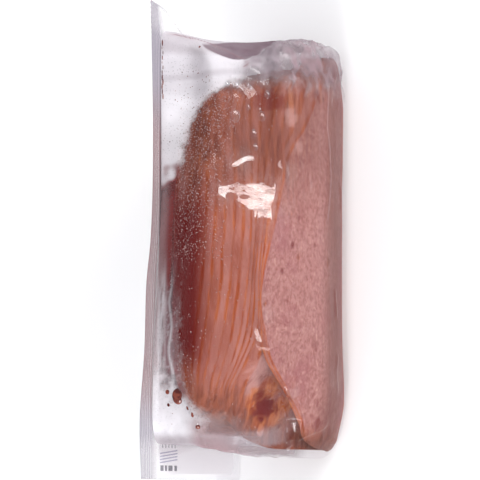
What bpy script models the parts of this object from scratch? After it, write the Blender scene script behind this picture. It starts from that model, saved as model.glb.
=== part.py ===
"""A clear sealed pack of thick-sliced honey ham, lying on its far long side.

Pack coordinates, in millimetres: x runs from the flat lid towards the formed face, y runs along
the pack, and z runs across its width, from the floor up to the long side that is seen.
The pocket is a solid filled with ham, because the sealed pack can't be opened. The lid web and
the flange around it are one thin sheet, and the label is a thin skin on the lid's outer face.
"""
import math

import bmesh
import bpy

MM = 0.001

# Driving sizes of the pack
FLANGE_HALF_LENGTH = 105.5
FLANGE_WIDTH = 12.5
FILM = 0.6
GAP = 0.3
POCKET_TOP = 94.3
POCKET_BOTTOM = -90.3
POCKET_DEPTH = 56.0
POCKET_WIDTH = 90.0

# The lid plane lies off the middle, so that the whole pack is centred on the origin
LID_X = -(POCKET_DEPTH + GAP - FLANGE_WIDTH - FILM / 2) / 2

# Height of the pocket's upper wall, read along y at four depths from the lid
ROOT_HEIGHTS = [(-106, 93.2), (-60, 93.2), (-20, 89.5), (20, 85.7), (106, 85.5)]
SHOULDER_HEIGHTS = [(-95, 86), (-75, 90), (-50, 95), (-20, 94.5), (15, 90), (45, 83), (75, 78), (96, 78)]
BELLY_HEIGHTS = [(-95, 80), (-75, 88), (-50, 96), (-20, 96.5), (15, 93), (45, 86), (75, 81), (96, 79)]
RIDGE_HEIGHTS = [(-95, 38), (-75, 44), (-60, 64), (-45, 80), (-25, 86), (0, 84), (25, 76), (57, 68), (96, 60)]
SHOULDER_DEPTH = 13.0
BELLY_DEPTH = 28.0
RIDGE_DEPTH = 49.0

# The formed face bulges over the slices and eases in towards the pack's two ends
FACE_BULGE = 6.5
UPPER_TAPER = 3.6
LOWER_TAPER = 5.0
TAPER_LENGTH = 34.0

# The lower end is pushed out where the slices sag, and the upper end is drawn in along its seen
# edge, most of all in a dent behind the slices at the front
END_SAG = 5.6
DENT_DEPTH = 15.0
DENT_X = 41.0
DENT_SPREAD = 11.0
DENT_LOW_Z = 26.0
DENT_HIGH_Z = 80.0

# Rounding of the pocket's edges at its formed face, its ends and its two long sides
FACE_ROUND = 11.0
UPPER_END_ROUND = 6.0
LOWER_END_ROUND = 13.0
FLOOR_ROUND = 12.0
RIDGE_ROUND = 6.0

# Strips along x, y and z that the pocket's surface is divided into
POCKET_STRIPS = (14, 40, 18)

# The flange: the outer edge curls forward, and the upper end leans back away from its high corner
EDGE_CURLS = [(-106, 1.6), (-80, 0.8), (-50, 2.6), (-20, 1.9), (0, 2.9), (60, 2.8), (106, 1.7)]
END_LEAN = math.radians(78)
LEAN_PEAK_Z = 38.0
LEAN_TOP_Z = 97.0
LEAN_RISE = 1.5
FAR_CORNER = 24.0
FAR_CORNER_LENGTH = 3.0
FOLD_RADIUS = 1.5
FLANGE_STRIPS_ALONG = 44
WEB_ROWS = 12
EDGE_ROWS = 4
FOLD_ROWS = 4
FOOT_ROWS = 3

# The label on the lid
LABEL_THICKNESS = 0.3
LABEL_LOW_Z = 7.0
LABEL_HIGH_Z = 84.5
LABEL_LOW_Y = -103.0
LABEL_HIGH_Y = 90.0
LABEL_CORNER = 4.0


def smooth(low, high, value):
    """A soft step from 0 at low to 1 at high."""
    share = min(1.0, max(0.0, (value - low) / (high - low)))
    return share * share * (3 - 2 * share)


def bell(value, centre, spread):
    """A rounded bump, 1 at its centre."""
    return math.exp(-((value - centre) / spread) ** 2)


def along(stations, place):
    """A smooth curve through (place, value) stations, level beyond the first and the last."""
    if place <= stations[0][0]:
        return stations[0][1]
    if place >= stations[-1][0]:
        return stations[-1][1]
    index = max(i for i in range(len(stations) - 1) if stations[i][0] <= place)
    (start, first), (end, second) = stations[index], stations[index + 1]
    span = end - start

    def slope(i):
        before = stations[max(i - 1, 0)]
        after = stations[min(i + 1, len(stations) - 1)]
        return (after[1] - before[1]) / (after[0] - before[0])

    t = (place - start) / span
    rise = slope(index) * span
    leave = slope(index + 1) * span
    return (first * (2 * t**3 - 3 * t**2 + 1) + rise * (t**3 - 2 * t**2 + t)
            + second * (3 * t**2 - 2 * t**3) + leave * (t**3 - t**2))


def upper_wall(x, y):
    """Height of the pocket's upper wall at depth x and place y."""
    across = [
        (0.0, along(ROOT_HEIGHTS, y)),
        (SHOULDER_DEPTH, along(SHOULDER_HEIGHTS, y)),
        (BELLY_DEPTH, along(BELLY_HEIGHTS, y)),
        (RIDGE_DEPTH, along(RIDGE_HEIGHTS, y)),
    ]
    return along(across, x)


def face_depth(y, share):
    """Depth of the formed face at place y; share runs from 0 on the floor to 1 at the ridge."""
    bulge = FACE_BULGE * math.sin(math.pi * min(1.0, max(0.0, 1 - share)) * 0.72)
    taper = UPPER_TAPER * smooth(POCKET_TOP - TAPER_LENGTH, POCKET_TOP, y) ** 2
    taper += LOWER_TAPER * smooth(POCKET_BOTTOM + TAPER_LENGTH, POCKET_BOTTOM, y) ** 2
    return POCKET_DEPTH - FACE_BULGE + bulge - taper


def rounded_block(corner):
    """Place of a point of the unit cube on a block with soft edges, square only at the lid."""
    sizes = (POCKET_DEPTH / 2, (POCKET_TOP - POCKET_BOTTOM) / 2, POCKET_WIDTH / 2)
    place = [c * s for c, s in zip(corner, sizes)]
    near_round = RIDGE_ROUND if place[2] > 0 else FLOOR_ROUND
    end_round = UPPER_END_ROUND if place[1] > 0 else LOWER_END_ROUND
    rounds = (FACE_ROUND, end_round, near_round)
    inner = [s - r for s, r in zip(sizes, rounds)]
    past = [max(0.0, abs(p) - i) / r for p, i, r in zip(place, inner, rounds)]
    if place[0] < 0:
        past[0] = 0.0
    length = math.sqrt(sum(d * d for d in past))
    if length > 0:
        pull = max(past) / length
        for axis in range(3):
            if past[axis] > 0:
                place[axis] = math.copysign(inner[axis] + rounds[axis] * past[axis] * pull, place[axis])
    return (place[0] + sizes[0], place[1] + (POCKET_TOP + POCKET_BOTTOM) / 2, place[2] + sizes[2])


def pocket_point(corner):
    """Place on the filled pocket of a point of the unit cube."""
    x, y, z = rounded_block(corner)
    share = z / POCKET_WIDTH
    height = share * upper_wall(x, y)
    depth = x / POCKET_DEPTH * face_depth(y, share)
    dent = DENT_DEPTH * smooth(0, DENT_X, x) * bell(max(x, DENT_X), DENT_X, DENT_SPREAD)
    dent *= smooth(DENT_LOW_Z, DENT_HIGH_Z, height)
    length = y - dent * smooth(0.25 * POCKET_TOP, POCKET_TOP, y)
    length -= END_SAG * smooth(12, 44, x) * smooth(-40, POCKET_BOTTOM, y)
    return (LID_X + GAP + depth, length, height)


def part_collection(name):
    """The collection that holds the finished pieces."""
    collection = bpy.data.collections.new(name)
    bpy.context.scene.collection.children.link(collection)
    return collection


def add_object(name, bm, collection, material):
    """Make an object of the edit mesh bm, with its faces turned out, and free bm."""
    bmesh.ops.recalc_face_normals(bm, faces=bm.faces)
    mesh = bpy.data.meshes.new(name)
    bm.to_mesh(mesh)
    bm.free()
    mesh.materials.append(material)
    piece = bpy.data.objects.new(name, mesh)
    collection.objects.link(piece)
    return piece


def make_material(name, colour, roughness, alpha=1.0):
    """A Principled material in one colour."""
    material = bpy.data.materials.new(name)
    material.use_nodes = True
    shader = material.node_tree.nodes["Principled BSDF"]
    shader.inputs["Base Color"].default_value = (*colour, 1.0)
    shader.inputs["Roughness"].default_value = roughness
    shader.inputs["Metallic"].default_value = 0.0
    shader.inputs["Alpha"].default_value = alpha
    return material


def edges_along(bm, axis):
    """The edges of a block that run along one axis."""
    found = []
    for edge in bm.edges:
        run = edge.verts[1].co - edge.verts[0].co
        if abs(run[axis]) > 0.9 * run.length:
            found.append(edge)
    return found


def build_pocket(collection):
    """The filled pocket: one block, divided finely and drawn out to the pack's form."""
    bm = bmesh.new()
    bmesh.ops.create_cube(bm, size=2.0)
    for axis, strips in enumerate(POCKET_STRIPS):
        edges = edges_along(bm, axis)
        bmesh.ops.subdivide_edges(bm, edges=edges, cuts=strips - 1, use_grid_fill=True)
    for vert in bm.verts:
        vert.co = [value * MM for value in pocket_point(vert.co)]
    bmesh.ops.triangulate(bm, faces=bm.faces)
    ham = make_material("ham_under_film", (0.40, 0.13, 0.10), 0.3)
    piece = add_object("ham_pack", bm, collection, ham)
    piece.data.shade_smooth()
    return piece


def sheet_rows():
    """Rows of the flange's sheet from its upper edge to its foot, as (kind, share of the kind)."""
    rows = [("edge", i / EDGE_ROWS) for i in range(EDGE_ROWS)]
    rows += [("web", i / WEB_ROWS) for i in range(WEB_ROWS)]
    rows += [("fold", i / FOLD_ROWS) for i in range(FOLD_ROWS)]
    rows += [("foot", i / FOOT_ROWS) for i in range(FOOT_ROWS + 1)]
    return rows


def lean_of_end(z):
    """Angle by which the upper end flange leans back at height z: none at its high corner."""
    share = min(1.0, max(0.0, (LEAN_TOP_Z - z) / (LEAN_TOP_Z - LEAN_PEAK_Z)))
    return END_LEAN * share**LEAN_RISE


def sheet_point(kind, share, y):
    """Middle of the flange's sheet at place y: the lid web, its upper edge, and the folded foot."""
    middle = FILM / 2
    turn = FOLD_RADIUS + middle
    root = along(ROOT_HEIGHTS, y)
    if kind == "edge":
        out = 1 - share
        return [-middle + along(EDGE_CURLS, y) * out**2, y, root + FLANGE_WIDTH * out]
    if kind == "web":
        return [-middle, y, root + (turn + middle - root) * share]
    if kind == "fold":
        angle = share * math.pi / 2
        return [-middle - turn * (1 - math.cos(angle)), y, middle + turn * (1 - math.sin(angle))]
    foot_start = -middle - turn
    return [foot_start - (FLANGE_WIDTH - turn) * share, y, middle]


def lean_back(point):
    """Lean the sheet beyond the pocket's upper end back from the lid, and round its low corner."""
    past = point[1] - POCKET_TOP
    if past <= 0:
        return point
    full = FLANGE_HALF_LENGTH - POCKET_TOP
    low = 1 - smooth(0, FAR_CORNER, point[2])
    past *= 1 - low**2 * (1 - FAR_CORNER_LENGTH / full)
    angle = lean_of_end(point[2]) * smooth(0, FOLD_RADIUS * 4, point[2])
    return [point[0] - past * math.sin(angle), POCKET_TOP + past * math.cos(angle), point[2]]


def build_flange(collection):
    """The lid web and the flange, one thin sheet folded flat along the floor as the pack's foot."""
    rows = sheet_rows()
    columns = FLANGE_STRIPS_ALONG
    bm = bmesh.new()
    bmesh.ops.create_grid(bm, x_segments=columns, y_segments=len(rows) - 1, size=1.0)
    for vert in bm.verts:
        kind, share = rows[round((vert.co.y + 1) / 2 * (len(rows) - 1))]
        place = sheet_point(kind, share, vert.co.x * FLANGE_HALF_LENGTH)
        place = lean_back(place)
        vert.co = [(place[0] + LID_X) * MM, place[1] * MM, place[2] * MM]
    bmesh.ops.recalc_face_normals(bm, faces=bm.faces)
    bmesh.ops.triangulate(bm, faces=bm.faces)
    film = make_material("clear_film", (0.72, 0.68, 0.70), 0.15, 0.5)
    mesh_piece = add_object("seal_flange", bm, collection, film)
    wall = mesh_piece.modifiers.new("film thickness", "SOLIDIFY")
    wall.thickness = FILM * MM
    wall.offset = 0.0
    wall.use_even_offset = True
    return mesh_piece


def build_label(collection):
    """The label: a thin flat card with round corners, flat on the lid's outer face."""
    bm = bmesh.new()
    bmesh.ops.create_cube(bm, size=1.0)
    middle_x = LID_X - FILM - GAP - LABEL_THICKNESS / 2
    for vert in bm.verts:
        x = middle_x + vert.co.x * LABEL_THICKNESS
        y = (LABEL_LOW_Y + LABEL_HIGH_Y) / 2 + vert.co.y * (LABEL_HIGH_Y - LABEL_LOW_Y)
        z = (LABEL_LOW_Z + LABEL_HIGH_Z) / 2 + vert.co.z * (LABEL_HIGH_Z - LABEL_LOW_Z)
        vert.co = (x * MM, y * MM, z * MM)
    corners = edges_along(bm, 0)
    bmesh.ops.bevel(bm, geom=corners, offset=LABEL_CORNER * MM, segments=5, profile=0.5,
                    affect="EDGES", material=-1)
    bmesh.ops.triangulate(bm, faces=bm.faces)
    paper = make_material("label_paper", (0.86, 0.86, 0.87), 0.45)
    return add_object("back_label", bm, collection, paper)


def main():
    for old in list(bpy.data.objects):
        bpy.data.objects.remove(old, do_unlink=True)
    collection = part_collection("sliced_ham_pack")
    build_pocket(collection)
    build_flange(collection)
    build_label(collection)


main()
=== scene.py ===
"""Looks of a clear sealed pack of thick-sliced honey ham, lying on its long side on a pale floor.

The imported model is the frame. The filled pocket is replaced by a film shell with thirteen slices
of ham inside it, and the flange by a thin ribbed film. The label keeps its solid and gets a print
of plain fields and bars.

Pack coordinates, in millimetres: x runs from the lid towards the formed face, y along the pack
towards its dented upper end, and z from the floor to the long side that is seen.
"""
import math
import random
from functools import partialmethod

import bmesh
import bpy
from mathutils import Matrix, Vector, noise
from mathutils.bvhtree import BVHTree


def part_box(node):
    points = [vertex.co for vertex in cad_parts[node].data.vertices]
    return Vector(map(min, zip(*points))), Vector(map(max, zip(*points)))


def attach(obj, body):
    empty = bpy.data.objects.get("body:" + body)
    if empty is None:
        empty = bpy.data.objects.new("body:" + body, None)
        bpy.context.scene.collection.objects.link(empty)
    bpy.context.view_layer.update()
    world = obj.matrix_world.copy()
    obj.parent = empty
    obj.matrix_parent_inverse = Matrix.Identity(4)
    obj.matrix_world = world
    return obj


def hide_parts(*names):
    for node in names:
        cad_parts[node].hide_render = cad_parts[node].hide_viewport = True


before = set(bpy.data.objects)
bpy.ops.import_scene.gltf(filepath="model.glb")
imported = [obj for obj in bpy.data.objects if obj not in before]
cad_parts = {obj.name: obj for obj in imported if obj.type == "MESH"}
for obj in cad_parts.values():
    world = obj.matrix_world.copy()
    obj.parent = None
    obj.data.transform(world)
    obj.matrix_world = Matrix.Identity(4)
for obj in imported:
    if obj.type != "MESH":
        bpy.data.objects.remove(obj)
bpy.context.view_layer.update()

MM = 0.001

# ------------ sizes taken from the frame
pocket_low, pocket_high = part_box("ham_pack")
flange_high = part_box("seal_flange")[1]
label_low, label_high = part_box("back_label")
GAP = 0.3
LID_X = pocket_low[0] / MM - GAP
POCKET_DEPTH = (pocket_high[0] - pocket_low[0]) / MM
FLANGE_HALF_LENGTH = flange_high[1] / MM

# ------------ form of the pocket
POCKET_TOP = 94.3
POCKET_BOTTOM = -90.3
POCKET_WIDTH = 90.0
# Heights of the upper wall as (place along the pack, height), from the flange's root to the ridge
ROOT_HEIGHTS = [(-106, 93.2), (-60, 93.2), (-20, 89.5), (20, 85.7), (106, 85.5)]
SHOULDER_HEIGHTS = [(-95, 86), (-75, 90), (-50, 95), (-20, 94.5), (15, 90), (45, 83), (75, 78), (96, 78)]
BELLY_HEIGHTS = [(-95, 80), (-75, 88), (-50, 96), (-20, 96.5), (15, 93), (45, 86), (75, 81), (96, 79)]
RIDGE_HEIGHTS = [(-95, 38), (-75, 44), (-60, 64), (-45, 80), (-25, 86), (0, 84), (25, 76), (57, 68),
                 (96, 60)]
SHOULDER_DEPTH = 13.0
BELLY_DEPTH = 28.0
RIDGE_DEPTH = 49.0
FACE_BULGE = 6.5
# Share of a half wave that the bulge takes up from the ridge to the floor
BULGE_WAVE = 0.72
UPPER_TAPER = 3.6
LOWER_TAPER = 5.0
TAPER_LENGTH = 34.0
END_SAG = 5.6
SAG_NEAR_X = 12.0
SAG_FAR_X = 44.0
SAG_FROM = -40.0
DENT_DEPTH = 15.0
DENT_X = 41.0
DENT_SPREAD = 11.0
DENT_LOW_Z = 26.0
DENT_HIGH_Z = 80.0
DENT_FROM = 0.25 * POCKET_TOP
FACE_ROUND = 11.0
UPPER_END_ROUND = 6.0
LOWER_END_ROUND = 13.0
FLOOR_ROUND = 12.0
RIDGE_ROUND = 6.0
# Where the ridge is softer: middle and reach along the pack, and how much rounder it is there
SOFT_RIDGE = (20.0, 20.0, 8.0)
FILM_STRIPS = (64, 240, 92)

# ------------ form of the slices
SLICES = 13
SLICE_GAP = 0.006
STACK_BACK = 1.0
FILM_CLEARANCE = 0.8
# More room between slices and film where the film is crumpled, and around its main wave
CRUMPLE_ROOM = 0.6
CRUMPLE_LOW = 62.0
CRUMPLE_HIGH = 76.0
WAVE_ROOM = 0.25
WAVE_MIDDLE = 24.0
WAVE_REACH = 9.0
RIM_ROUND = 0.1
SLICE_SHARP = 50.0
SLICE_STRIPS = (4, 104, 30)
SECOND_STRIPS = (4, 200, 80)
FRONT_STRIPS = (4, 230, 100)
FAR_CORNER = 11.0
FAR_CORNER_DROP = FAR_CORNER * 0.9
LEAST_HEIGHT = 1.0
BEND_REACH = 38.0
FAN_LOW_END = -84.0

# The seen edges of the slices lie on the film as a fan. Each line here is one seam, counted from the
# lid, as (place along the pack, angle in degrees) around a line along the pack at (FAN_X, FAN_Z).
# The seams between two of these lines share the room between them.
FAN_X = 10.0
FAN_Z = 20.0
SEAM_LINES = {
    0: [(-80, 80.5), (-67, 88), (-50, 89.5), (0, 90.5), (25, 92), (46, 90.5), (54, 88), (62, 83),
        (69, 74), (76, 69)],
    1: [(-80, 80), (-67, 86), (-50, 87), (-14, 84.5), (25, 84), (46, 86), (54, 84.5), (62, 80.5),
        (76, 68.5)],
    8: [(-80, 73), (-67, 73), (-54, 69), (-41, 66), (-14, 63), (25, 61.5), (54, 62), (76, 60)],
    11: [(-80, 69), (-67, 69.5), (-54, 64), (-41, 60), (-14, 59.5), (25, 55), (54, 47), (76, 42)],
    12: [(-80, 65), (-67, 65), (-54, 59), (-41, 58.5), (-28, 59.5), (12, 55.5), (39, 48.5), (54, 39),
         (76, 30)],
    13: [(-95, 12), (-86, 23), (-80, 28), (-67, 42.5), (-54, 53.5), (-41, 57.5), (-28, 59.3), (-14, 58),
         (0, 55), (25, 48.5), (39, 44), (54, 30.5), (76, 14)],
}
SEAM_WANDER = 0.16
FRONT_RIM_ANGLE = 2.0
SPLIT_LOW = -50.0
SPLIT_HIGH = -38.0

# For each slice from the front to the lid: where its seen edge starts to round off towards the
# upper end, where its upper end lies, how far it drops there, and the same at the lower end
SLICE_ENDS = (
    ((62, 87, 30), (-86, -95.4, 12)),
    ((64, 86, 34), (-74, -92, 32)),
    ((66, 81, 34), (-74, -91, 33)),
    ((66, 80, 34), (-74, -90, 34)),
    ((66, 79.5, 34), (-73, -88, 36)),
    ((65, 79, 34), (-72, -86, 38)),
    ((64, 78.5, 36), (-72, -86, 40)),
    ((64, 78, 38), (-72, -86, 40)),
    ((63, 78, 40), (-72, -86, 40)),
    ((62, 77, 42), (-72, -85, 40)),
    ((62, 77, 44), (-72, -85, 40)),
    ((62, 76.5, 44), (-72, -85, 40)),
    ((62, 76, 44), (-72, -85, 40)),
)

# Spots on the ham: place, radius and strength. They reach further in depth than along the face. Near the
# wedge some are painted shade and some painted light, as noted at each table.
SPOT_DEPTH_SCALE = 0.35
# The spots at (41, -74, 56) and (41, -69, 61) are painted shade in the gap between the front and second
# slices, together with dark juice; the others are dark stains and pits.
DARK_SPOTS = (
    ((53, -2, 60), 1.7, 0.8),
    ((55, -1, 40), 1.6, 0.6),
    ((54, 10, 54), 1.3, 0.6),
    ((52, -14, 68), 1.8, 0.7),
    ((55, -46, 39), 4.0, 0.35),
    ((52, -80, 29), 3.0, 0.6),
    ((41, -74, 56), 7.5, 1.0),
    ((41, -69, 61), 4.5, 0.8),
    ((45, 62, 65), 6.0, 0.55),
    ((55, 68, 36), 3.0, 0.5),
)
HONEY_SPOTS = (
    ((54, -7, 55), 1.3, 0.9),
    ((50, -29, 79), 1.6, 0.9),
    ((53, -27, 63), 1.0, 0.8),
    ((55, -8, 26), 2.4, 0.8),
    ((52, 60, 57), 8.0, 0.9),
    ((55, 67, 34), 5.0, 0.7),
    ((53, 74, 44), 5.0, 0.7),
)
# The spots at (46, -75, 48) and (43, -66, 57) are painted light that lifts the shaded gap behind the front
# slice to orange-brown; the others are honey-gold glaze.
GOLD_SPOTS = (
    ((36.5, -71, 63), 7.5, 0.85),
    ((36, -80, 56), 6.0, 0.8),
    ((46, -75, 48), 9.0, 0.7),
    ((43, -66, 57), 8.0, 0.7),
    ((51, 62, 58), 5.0, 0.45),
    ((54, 12, 60), 1.2, 0.6),
)
# The spots at (37, -56, 69) and (36, -65, 67) are painted light that lifts the shaded face of the second
# slice by the wedge; the others are pale spots.
PALE_SPOTS = (
    ((37, -56, 69), 8.0, 0.4),
    ((36, -65, 67), 6.0, 0.4),
    ((36, -84, 54), 3.0, 0.8),
    ((47, -79, 44), 3.5, 0.6),
    ((52, 56, 58), 6.0, 0.5),
    ((54, 42, 52), 4.0, 0.35),
)
GOLD_RIM = 0.95
# Of these, juice holds meat juice with painted shade, shade is painted shade, and gold and pale are partly
# painted light.
SLICE_LOOKS = ("inward", "across", "tone", "juice", "brown", "shade", "gold", "pale")
# Below this place along the pack, the front slice keeps this share of its gold and pale spots
CLEAN_BELOW = -40.0
CLEAN_SHARE = 0.15

random.seed(7)


# ------------ small tools
def smooth(low, high, value):
    """A soft step from 0 at low to 1 at high."""
    share = min(1.0, max(0.0, (value - low) / (high - low)))
    return share * share * (3 - 2 * share)


def bell(value, centre, spread):
    """A rounded bump, 1 at its centre."""
    return math.exp(-((value - centre) / spread) ** 2)


def mix(first, second, share):
    """The value at a share of the way from the first to the second."""
    return first + (second - first) * share


def wander(x, y, z):
    """A smooth random value at a place, from about -1 to 1."""
    return noise.noise(Vector((x, y, z)))


def gap_share(place, centre, radius):
    """Distance of a place from a centre, as a share of a radius."""
    return (place - Vector(centre)).length / radius


def along(stations, place):
    """A smooth curve through (place, value) stations, level beyond the first and the last."""
    if place <= stations[0][0]:
        return stations[0][1]
    if place >= stations[-1][0]:
        return stations[-1][1]
    index = max(i for i in range(len(stations) - 1) if stations[i][0] <= place)
    (start, first), (end, second) = stations[index], stations[index + 1]
    span = end - start

    def slope(i):
        before = stations[max(i - 1, 0)]
        after = stations[min(i + 1, len(stations) - 1)]
        return (after[1] - before[1]) / (after[0] - before[0])

    t = (place - start) / span
    rise = slope(index) * span
    leave = slope(index + 1) * span
    return (first * (2 * t**3 - 3 * t**2 + 1) + rise * (t**3 - 2 * t**2 + t)
            + second * (3 * t**2 - 2 * t**3) + leave * (t**3 - t**2))


def to_world(place):
    """World place, in metres, of a place in pack coordinates."""
    return Vector(((LID_X + place[0]) * MM, place[1] * MM, place[2] * MM))


def lattice(strips):
    """A cube of size 2 whose sides are divided into strips along x, y and z."""
    bm = bmesh.new()
    bmesh.ops.create_cube(bm, size=2.0)
    for axis, count in enumerate(strips):
        edges = []
        for edge in bm.edges:
            run = edge.verts[1].co - edge.verts[0].co
            if abs(run[axis]) > 0.9 * run.length:
                edges.append(edge)
        bmesh.ops.subdivide_edges(bm, edges=edges, cuts=count - 1, use_grid_fill=True)
    return bm


def add_layers(bm, names):
    """New layers for a number at each point of an edit mesh, by name."""
    return {name: bm.verts.layers.float.new(name) for name in names}


def note_looks(vert, layers, looks):
    """Keep a point's looks in the layers of the same names."""
    for name, layer in layers.items():
        vert[layer] = looks[name]


def turned(x_way, y_way, z_way):
    """The turn that lays the three axes along three directions."""
    return Matrix((x_way, y_way, z_way)).transposed().to_4x4()


def add_object(name, data):
    """Make an object of a mesh, lamp or lens, and put it in the scene."""
    made = bpy.data.objects.new(name, data)
    bpy.context.scene.collection.objects.link(made)
    return made


def add_piece(name, bm, material, smooth_faces=True, sharp_angle=None):
    """Make an object of an edit mesh in world metres, and free the edit mesh."""
    mesh = bpy.data.meshes.new(name)
    bm.to_mesh(mesh)
    bm.free()
    mesh.materials.append(material)
    piece = add_object(name, mesh)
    if smooth_faces:
        mesh.shade_smooth()
    if sharp_angle is not None:
        mesh.set_sharp_from_angle(angle=math.radians(sharp_angle))
    return piece


# ------------ folds of the film
# Each fold has a height, a half width and a route over the pocket; heights below 0 are hollows.
FILM_INSET = 0.4
FOLD_STEP = 3.0
FOLD_FADE = 0.15
FOLD_SHARPNESS = 1.6
CRUMPLE_SHARPNESS = 3.2
FACE_FOLDS = (
    (0.8, 2.4, [(54, 85, 26), (56, 70, 28), (56, 54, 30), (56, 43, 27), (56, 30, 26), (56, 18, 28),
                (56, 6, 32)]),
    (0.6, 2.0, [(56, 30, 14), (56, 24, 12), (56, 16, 12)]),
    (0.6, 2.0, [(56, -19, 20), (56, -33, 18)]),
    (0.6, 2.0, [(56, -48, 17), (56, -58, 19), (56, -67, 17)]),
    (0.5, 1.8, [(52, 12, 68), (52, 10, 66), (52, 12, 63)]),
)
UPPER_FOLDS = (
    (1.1, 3.0, [(39, 83, 62), (46, 79, 61), (50, 74, 57), (53, 70, 49), (54, 65, 45)]),
    (-0.7, 2.6, [(43, 84, 61), (49, 78, 58), (52, 74, 50), (54, 68, 44)]),
    (0.9, 2.6, [(35, 77, 68), (40, 74, 64), (46, 76, 62), (48, 79, 60)]),
    (1.0, 2.0, [(34, 81, 66), (35, 77, 68), (35, 73, 69)]),
    (0.9, 2.0, [(48, 93, 28), (51, 89, 37), (52, 85, 40)]),
    (0.9, 1.7, [(48, 91, 41), (49, 88, 49), (50, 86, 46), (50, 83, 49)]),
    (0.8, 2.0, [(49, 92, 25), (53, 89, 27), (54, 83, 27)]),
    (0.8, 1.8, [(53, 78, 40), (54, 76, 37), (55, 75, 34)]),
    (0.5, 2.0, [(2, 92, 82), (10, 91, 75), (15, 89, 66), (23, 85, 65), (33, 80, 67)]),
    (0.4, 4.0, [(10, 78, 78), (19, 78, 80), (27, 77, 76), (34, 78, 68)]),
    (-0.5, 4.0, [(9, 72, 79), (19, 72, 80), (29, 72, 76), (34, 75, 69)]),
)
LOWER_FOLDS = (
    (0.8, 1.8, [(5, -84, 90), (7, -87, 87), (9, -90, 83)]),
    (1.0, 2.6, [(54, -79, 22), (51, -83, 28), (49, -85, 34), (43, -87, 39), (36, -90, 44)]),
    (1.3, 2.0, [(48, -64, 60), (49, -68, 54), (50, -72, 48), (49, -78, 42), (48, -84, 38)]),
    (1.1, 1.8, [(40, -78, 50), (41, -82, 43)]),
    (0.9, 1.8, [(44, -70, 56), (45, -75, 50), (44, -80, 46)]),
    (0.6, 2.0, [(5, -58, 93), (9, -64, 92), (13, -70, 91), (20, -76, 91)]),
)
TOP_FOLDS = (
    (0.35, 2.2, [(34, 30, 83), (38, 34, 77), (41, 35, 75)]),
    (0.5, 2.0, [(3, -20, 91), (5, -31, 93), (6, -44, 94), (5, -60, 93)]),
    (0.4, 1.8, [(9, -25, 94), (11, -34, 95), (10, -45, 95)]),
    (0.3, 2.0, [(48, -32, 82), (49, -35, 81)]),
)
# Routes of the dark lines along the film's upper end
CREASES = (
    [(1, 93, 84), (2, 92.5, 82), (10, 91, 75.5), (15, 89.5, 66.5), (23.5, 85.5, 65), (33.5, 80.5, 67),
     (36, 79, 67)],
    [(33.5, 80.5, 67), (34, 78, 68), (33, 77, 70)],
)
CREASE_HALF_WIDTH = 1.3
# Domes of loose film: place, radius and height
BLISTERS = (
    ((51, 30, 66), 6.0, 1.6),
    ((54, 26, 47), 5.0, 0.8),
    ((53, 19, 60), 4.0, 0.5),
    ((34.5, 20, 85), 3.2, 0.4),
    ((39.5, 19.5, 81.5), 2.8, 0.32),
)
# Shallow waves of taut film across the pack: middle, reach along and across the pack, and height
SWELLS = (
    ((50, 18, 74), 16.0, 17.0, 0.42),
    ((34.5, 19.5, 86), 10.0, 8.0, 0.36),
)
SWELL_SLANT = 0.45
# Places where the dry film is bare and mirrors most: middle and radius
SHINE_SPOTS = (
    ((48, 17, 76), 19.0),
    ((48, 87, 48), 14.0),
    ((56, -60, 18), 10.0),
    ((36, 78, 66), 6.0),
    ((38, 33, 79), 10.0),
    ((31, 19, 89), 9.0),
    ((52, 29, 60), 9.0),
    ((42, -80, 46), 8.0),
    ((50, -68, 54), 7.0),
    ((49, -34, 80), 6.0),
)

# ------------ the pocket's form
def upper_wall(x, y):
    """Height of the pocket's upper wall at depth x and place y."""
    across = [
        (0.0, along(ROOT_HEIGHTS, y)),
        (SHOULDER_DEPTH, along(SHOULDER_HEIGHTS, y)),
        (BELLY_DEPTH, along(BELLY_HEIGHTS, y)),
        (RIDGE_DEPTH, along(RIDGE_HEIGHTS, y)),
    ]
    return along(across, x)


def face_depth(y, share):
    """Depth of the formed face at place y; share runs from 0 on the floor to 1 at the ridge."""
    bulge = FACE_BULGE * math.sin(math.pi * min(1.0, max(0.0, 1 - share)) * BULGE_WAVE)
    taper = UPPER_TAPER * smooth(POCKET_TOP - TAPER_LENGTH, POCKET_TOP, y) ** 2
    taper += LOWER_TAPER * smooth(POCKET_BOTTOM + TAPER_LENGTH, POCKET_BOTTOM, y) ** 2
    return POCKET_DEPTH - FACE_BULGE + bulge - taper


def rounded_block(corner):
    """Place of a point of the unit cube on a block with soft edges, square only at the lid."""
    sizes = (POCKET_DEPTH / 2, (POCKET_TOP - POCKET_BOTTOM) / 2, POCKET_WIDTH / 2)
    place = [c * s for c, s in zip(corner, sizes)]
    middle, spread, more = SOFT_RIDGE
    near_round = RIDGE_ROUND + more * bell(place[1], middle, spread) if place[2] > 0 else FLOOR_ROUND
    end_round = UPPER_END_ROUND if place[1] > 0 else LOWER_END_ROUND
    rounds = (FACE_ROUND, end_round, near_round)
    inner = [s - r for s, r in zip(sizes, rounds)]
    past = [max(0.0, abs(p) - i) / r for p, i, r in zip(place, inner, rounds)]
    if place[0] < 0:
        past[0] = 0.0
    length = math.sqrt(sum(d * d for d in past))
    if length > 0:
        pull = max(past) / length
        for axis in range(3):
            if past[axis] > 0:
                place[axis] = math.copysign(inner[axis] + rounds[axis] * past[axis] * pull, place[axis])
    return (place[0] + sizes[0], place[1] + (POCKET_TOP + POCKET_BOTTOM) / 2, place[2] + sizes[2])


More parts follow.
